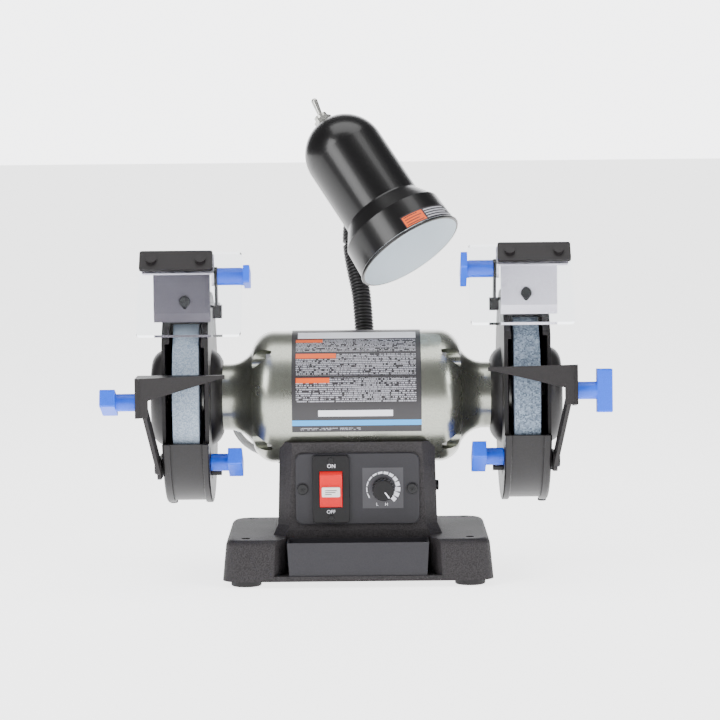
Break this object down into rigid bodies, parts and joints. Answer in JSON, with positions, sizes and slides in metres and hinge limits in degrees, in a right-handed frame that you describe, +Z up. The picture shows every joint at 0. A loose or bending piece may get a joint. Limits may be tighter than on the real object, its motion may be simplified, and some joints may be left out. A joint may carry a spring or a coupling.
{
  "type": "bench grinder",
  "caption": "Two-wheel bench grinder on a cast pedestal, with tool rests, eye shields, speed dial and a gooseneck work lamp.",
  "frame": {"origin": "middle of the four bench holes, on the bench top under the rubber feet", "axes": "+X along the spindle to the right-hand wheel as the user sees it, -Y towards the user, +Z up"},
  "size_m": [0.3872, 0.2298, 0.376],
  "materials": {
    "casting_paint": "textured dark grey powder coat on cast iron",
    "guard_paint": "satin black paint on steel sheet",
    "rest_paint": "dark grey powder coat on steel",
    "motor_paint": "metallic champagne grey enamel",
    "lamp_paint": "gloss black enamel outside, white inside",
    "panel_paint": "smooth dark grey paint",
    "screw_steel": "black-oxide steel",
    "zinc_steel": "zinc-plated steel",
    "wheel_grit": "vitrified aluminium-oxide grit, blue-grey",
    "knob_plastic": "moulded blue nylon",
    "black_plastic": "moulded black plastic",
    "rocker_red": "translucent red plastic",
    "key_white": "moulded white plastic",
    "foot_rubber": "black rubber",
    "lead_sheath": "black flexible sheath",
    "shield_clear": "clear polycarbonate sheet",
    "arrestor_steel": "plated steel sheet",
    "iron_core": "stacked electrical steel",
    "copper_wire": "enamelled copper",
    "neck_sheath": "ribbed black sheath on a flexible metal core",
    "socket_ceramic": "glazed porcelain with a brass screw shell",
    "board": "glass-epoxy board with parts"
  },
  "bodies": {
    "root": {"pedestal": "casting_paint", "base_plate": "casting_paint", "feet": "foot_rubber", "control_panel": "panel_paint", "panel_screws": "zinc_steel", "switch_body": "black_plastic", "speed_control": "zinc_steel", "control_board": "board", "motor_shell": "motor_paint", "end_bell_left": "motor_paint", "end_bell_right": "motor_paint", "tie_bolts": "zinc_steel", "stator_core": "iron_core", "stator_windings": "copper_wire", "bearings": "zinc_steel", "motor_lead": "lead_sheath", "grommets": "foot_rubber", "guard_left": "guard_paint", "guard_right": "guard_paint", "guard_cover_left": "guard_paint", "guard_cover_right": "guard_paint", "guard_screws": "screw_steel", "gooseneck_socket": "black_plastic"},
    "spindle": {"shaft": "zinc_steel", "rotor_core": "iron_core", "wheel_left": "wheel_grit", "wheel_right": "wheel_grit", "wheel_flanges": "zinc_steel", "arbor_nuts": "zinc_steel"},
    "switch_rocker": {"switch_rocker": "rocker_red"},
    "safety_key": {"safety_key": "key_white"},
    "speed_knob": {"speed_knob": "black_plastic"},
    "quench_tray": {"quench_tray": "panel_paint"},
    "lamp_lower": {"gooseneck_lower": "neck_sheath"},
    "lamp_upper": {"gooseneck_upper": "neck_sheath"},
    "lamp_head": {"lamp_shade": "lamp_paint", "lamp_fittings": "zinc_steel", "bulb_socket": "socket_ceramic"},
    "lamp_toggle": {"lamp_toggle": "zinc_steel"},
    "shroud_left": {"shroud_left": "guard_paint"},
    "shroud_knob_left": {"shroud_knob_left": "knob_plastic"},
    "rest_arm_left": {"rest_arm_left": "rest_paint"},
    "tool_rest_left": {"tool_rest_left": "rest_paint"},
    "rest_knob_left": {"rest_knob_left": "knob_plastic"},
    "shield_left": {"shield_bracket_left": "arrestor_steel", "eye_shield_left": "shield_clear", "shield_strip_left": "rest_paint"},
    "shield_knob_left": {"shield_knob_left": "knob_plastic"},
    "spark_arrestor_left": {"spark_arrestor_left": "arrestor_steel"},
    "shroud_right": {"shroud_right": "guard_paint"},
    "shroud_knob_right": {"shroud_knob_right": "knob_plastic"},
    "rest_arm_right": {"rest_arm_right": "rest_paint"},
    "tool_rest_right": {"tool_rest_right": "rest_paint"},
    "rest_knob_right": {"rest_knob_right": "knob_plastic"},
    "shield_right": {"shield_bracket_right": "arrestor_steel", "eye_shield_right": "shield_clear", "shield_strip_right": "rest_paint"},
    "shield_knob_right": {"shield_knob_right": "knob_plastic"},
    "spark_arrestor_right": {"spark_arrestor_right": "arrestor_steel"}
  },
  "joints": [
    {"name": "spindle_spin", "type": "hinge", "parent": "root", "child": "spindle", "pos_m": [0, 0, 0.141], "axis": [1, 0, 0], "continuous": true},
    {"name": "switch_rock", "type": "hinge", "parent": "root", "child": "switch_rocker", "pos_m": [-0.0205, -0.045, 0.073], "axis": [-1, 0, 0], "range_deg": [0, 16]},
    {"name": "key_pull", "type": "slide", "parent": "switch_rocker", "child": "safety_key", "axis": [0, -0.9903, -0.1392], "range_m": [0, 0.012]},
    {"name": "speed_turn", "type": "hinge", "parent": "root", "child": "speed_knob", "pos_m": [0.02, -0.0535, 0.073], "axis": [0, -1, 0], "range_deg": [0, 270]},
    {"name": "tray_slide", "type": "slide", "parent": "root", "child": "quench_tray", "axis": [0, -1, 0], "range_m": [0, 0.045]},
    {"name": "shroud_turn_left", "type": "hinge", "parent": "root", "child": "shroud_left", "pos_m": [-0.131, 0, 0.141], "axis": [-1, 0, 0], "range_deg": [-5, 10]},
    {"name": "shroud_knob_turn_left", "type": "hinge", "parent": "shroud_left", "child": "shroud_knob_left", "pos_m": [-0.1065, -0.04515, 0.09424], "axis": [-1, 0, 0], "range_deg": [0, 270]},
    {"name": "rest_slide_left", "type": "slide", "parent": "root", "child": "rest_arm_left", "axis": [0, -1, 0], "range_m": [-0.0012, 0.008]},
    {"name": "rest_tilt_left", "type": "hinge", "parent": "rest_arm_left", "child": "tool_rest_left", "pos_m": [-0.164, -0.095, 0.146], "axis": [-1, 0, 0], "range_deg": [-10, 4]},
    {"name": "rest_knob_turn_left", "type": "hinge", "parent": "rest_arm_left", "child": "rest_knob_left", "pos_m": [-0.175, -0.095, 0.146], "axis": [1, 0, 0], "range_deg": [0, 270]},
    {"name": "shield_tilt_left", "type": "hinge", "parent": "root", "child": "shield_left", "pos_m": [-0.1088, -0.063, 0.239], "axis": [-1, 0, 0], "range_deg": [-20, 70]},
    {"name": "shield_knob_turn_left", "type": "hinge", "parent": "root", "child": "shield_knob_left", "pos_m": [-0.0978, -0.063, 0.239], "axis": [-1, 0, 0], "range_deg": [0, 270]},
    {"name": "arrestor_slide_left", "type": "slide", "parent": "root", "child": "spark_arrestor_left", "axis": [0, 0, 1], "range_m": [-0.0025, 0.003]},
    {"name": "shroud_turn_right", "type": "hinge", "parent": "root", "child": "shroud_right", "pos_m": [0.131, 0, 0.141], "axis": [-1, 0, 0], "range_deg": [-5, 10]},
    {"name": "shroud_knob_turn_right", "type": "hinge", "parent": "shroud_right", "child": "shroud_knob_right", "pos_m": [0.1065, -0.048, 0.09717], "axis": [1, 0, 0], "range_deg": [0, 270]},
    {"name": "rest_slide_right", "type": "slide", "parent": "root", "child": "rest_arm_right", "axis": [0, -0.998, 0.0628], "range_m": [-0.0012, 0.008]},
    {"name": "rest_tilt_right", "type": "hinge", "parent": "rest_arm_right", "child": "tool_rest_right", "pos_m": [0.164, -0.0945, 0.15196], "axis": [-1, 0, 0], "range_deg": [-10, 4]},
    {"name": "rest_knob_turn_right", "type": "hinge", "parent": "rest_arm_right", "child": "rest_knob_right", "pos_m": [0.175, -0.0945, 0.15196], "axis": [-1, 0, 0], "range_deg": [0, 270]},
    {"name": "shield_tilt_right", "type": "hinge", "parent": "root", "child": "shield_right", "pos_m": [0.1088, -0.05672, 0.24276], "axis": [-1, 0, 0], "range_deg": [-20, 70]},
    {"name": "shield_knob_turn_right", "type": "hinge", "parent": "root", "child": "shield_knob_right", "pos_m": [0.0978, -0.05672, 0.24276], "axis": [1, 0, 0], "range_deg": [0, 270]},
    {"name": "arrestor_slide_right", "type": "slide", "parent": "root", "child": "spark_arrestor_right", "axis": [0, 0.0628, 0.998], "range_m": [-0.0025, 0.003]},
    {"name": "lamp_base_bend", "type": "hinge", "parent": "root", "child": "lamp_lower", "pos_m": [0.012, 0.072, 0.1086], "axis": [-1, 0, 0], "range_deg": [-14, 22]},
    {"name": "lamp_mid_bend", "type": "hinge", "parent": "lamp_lower", "child": "lamp_upper", "pos_m": [0.0055, 0.079, 0.206], "axis": [0, 1, 0], "range_deg": [-22, 22]},
    {"name": "lamp_head_tilt", "type": "hinge", "parent": "lamp_upper", "child": "lamp_head", "pos_m": [0.00482, 0.08826, 0.31285], "axis": [0.9769, -0.2135, 0], "range_deg": [-22, 22]},
    {"name": "lamp_toggle_flip", "type": "hinge", "parent": "lamp_head", "child": "lamp_toggle", "pos_m": [-0.0262, 0.06071, 0.36006], "axis": [0.2033, 0.929, -0.3093], "range_deg": [-20, 0]}
  ]
}
